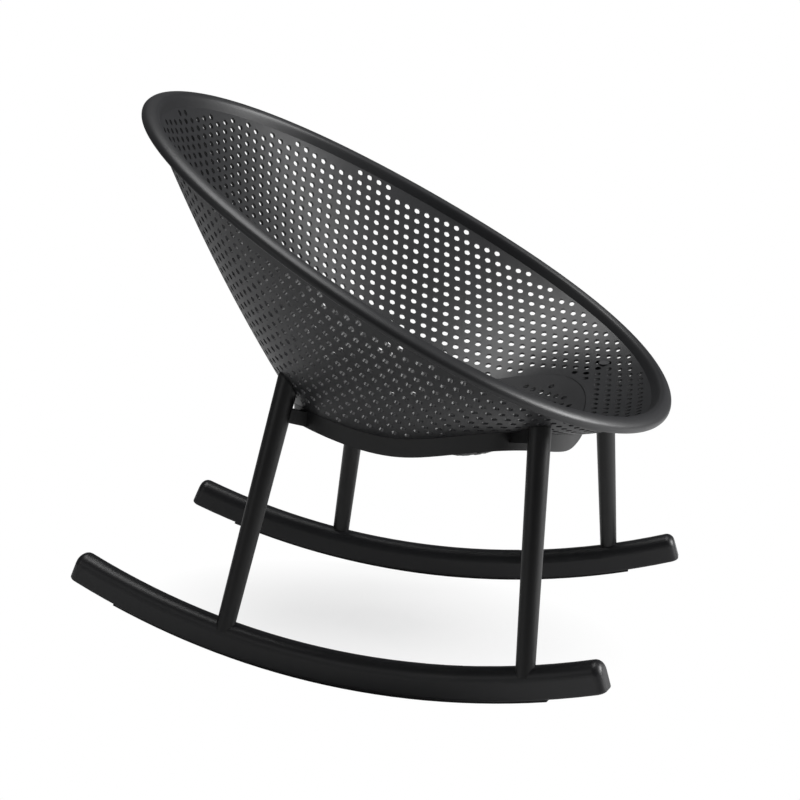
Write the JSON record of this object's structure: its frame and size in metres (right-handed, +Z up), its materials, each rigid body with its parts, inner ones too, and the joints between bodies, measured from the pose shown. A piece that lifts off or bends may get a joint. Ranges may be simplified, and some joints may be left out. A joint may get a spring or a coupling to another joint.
{
  "type": "rocking chair",
  "caption": "Rocking chair with a round tilted bowl seat in perforated moulded plastic, a base ring, splayed round legs and two curved rockers with anti-slip strips.",
  "frame": {"origin": "centre of the underside of the whole chair's box, on the floor", "axes": "+X to the sitter's left, +Y to the rear, +Z up"},
  "size_m": [0.8132, 0.8108, 0.7714],
  "materials": {
    "seat_plastic": "satin",
    "frame_plastic": "satin",
    "leg_paint": "satin",
    "rocker_plastic": "satin",
    "strip_rubber": "matte",
    "buffer_rubber": "matte",
    "insert_plastic": "matte",
    "pin_plastic": "matte",
    "bolt_steel": "zinc plated",
    "insert_brass": "plain"
  },
  "bodies": {
    "root": {"seat_shell": "seat_plastic", "seat_ring": "frame_plastic", "leg_rear_right": "leg_paint", "leg_bracket_rear_right": "frame_plastic", "leg_rear_left": "leg_paint", "leg_bracket_rear_left": "frame_plastic", "leg_front_right": "leg_paint", "leg_bracket_front_right": "frame_plastic", "leg_front_left": "leg_paint", "leg_bracket_front_left": "frame_plastic", "rocker_right": "rocker_plastic", "rocker_strip_right": "strip_rubber", "rocker_left": "rocker_plastic", "rocker_strip_left": "strip_rubber", "bracket_bolts_rear": "bolt_steel", "bracket_bolts_front": "bolt_steel", "bracket_washers": "bolt_steel", "leg_top_inserts": "insert_plastic", "leg_foot_inserts": "insert_plastic", "foot_studs": "bolt_steel", "rocker_inserts": "insert_brass", "leg_top_buffers": "buffer_rubber", "ring_screws": "bolt_steel", "strip_pins": "pin_plastic"}
  },
  "joints": []
}
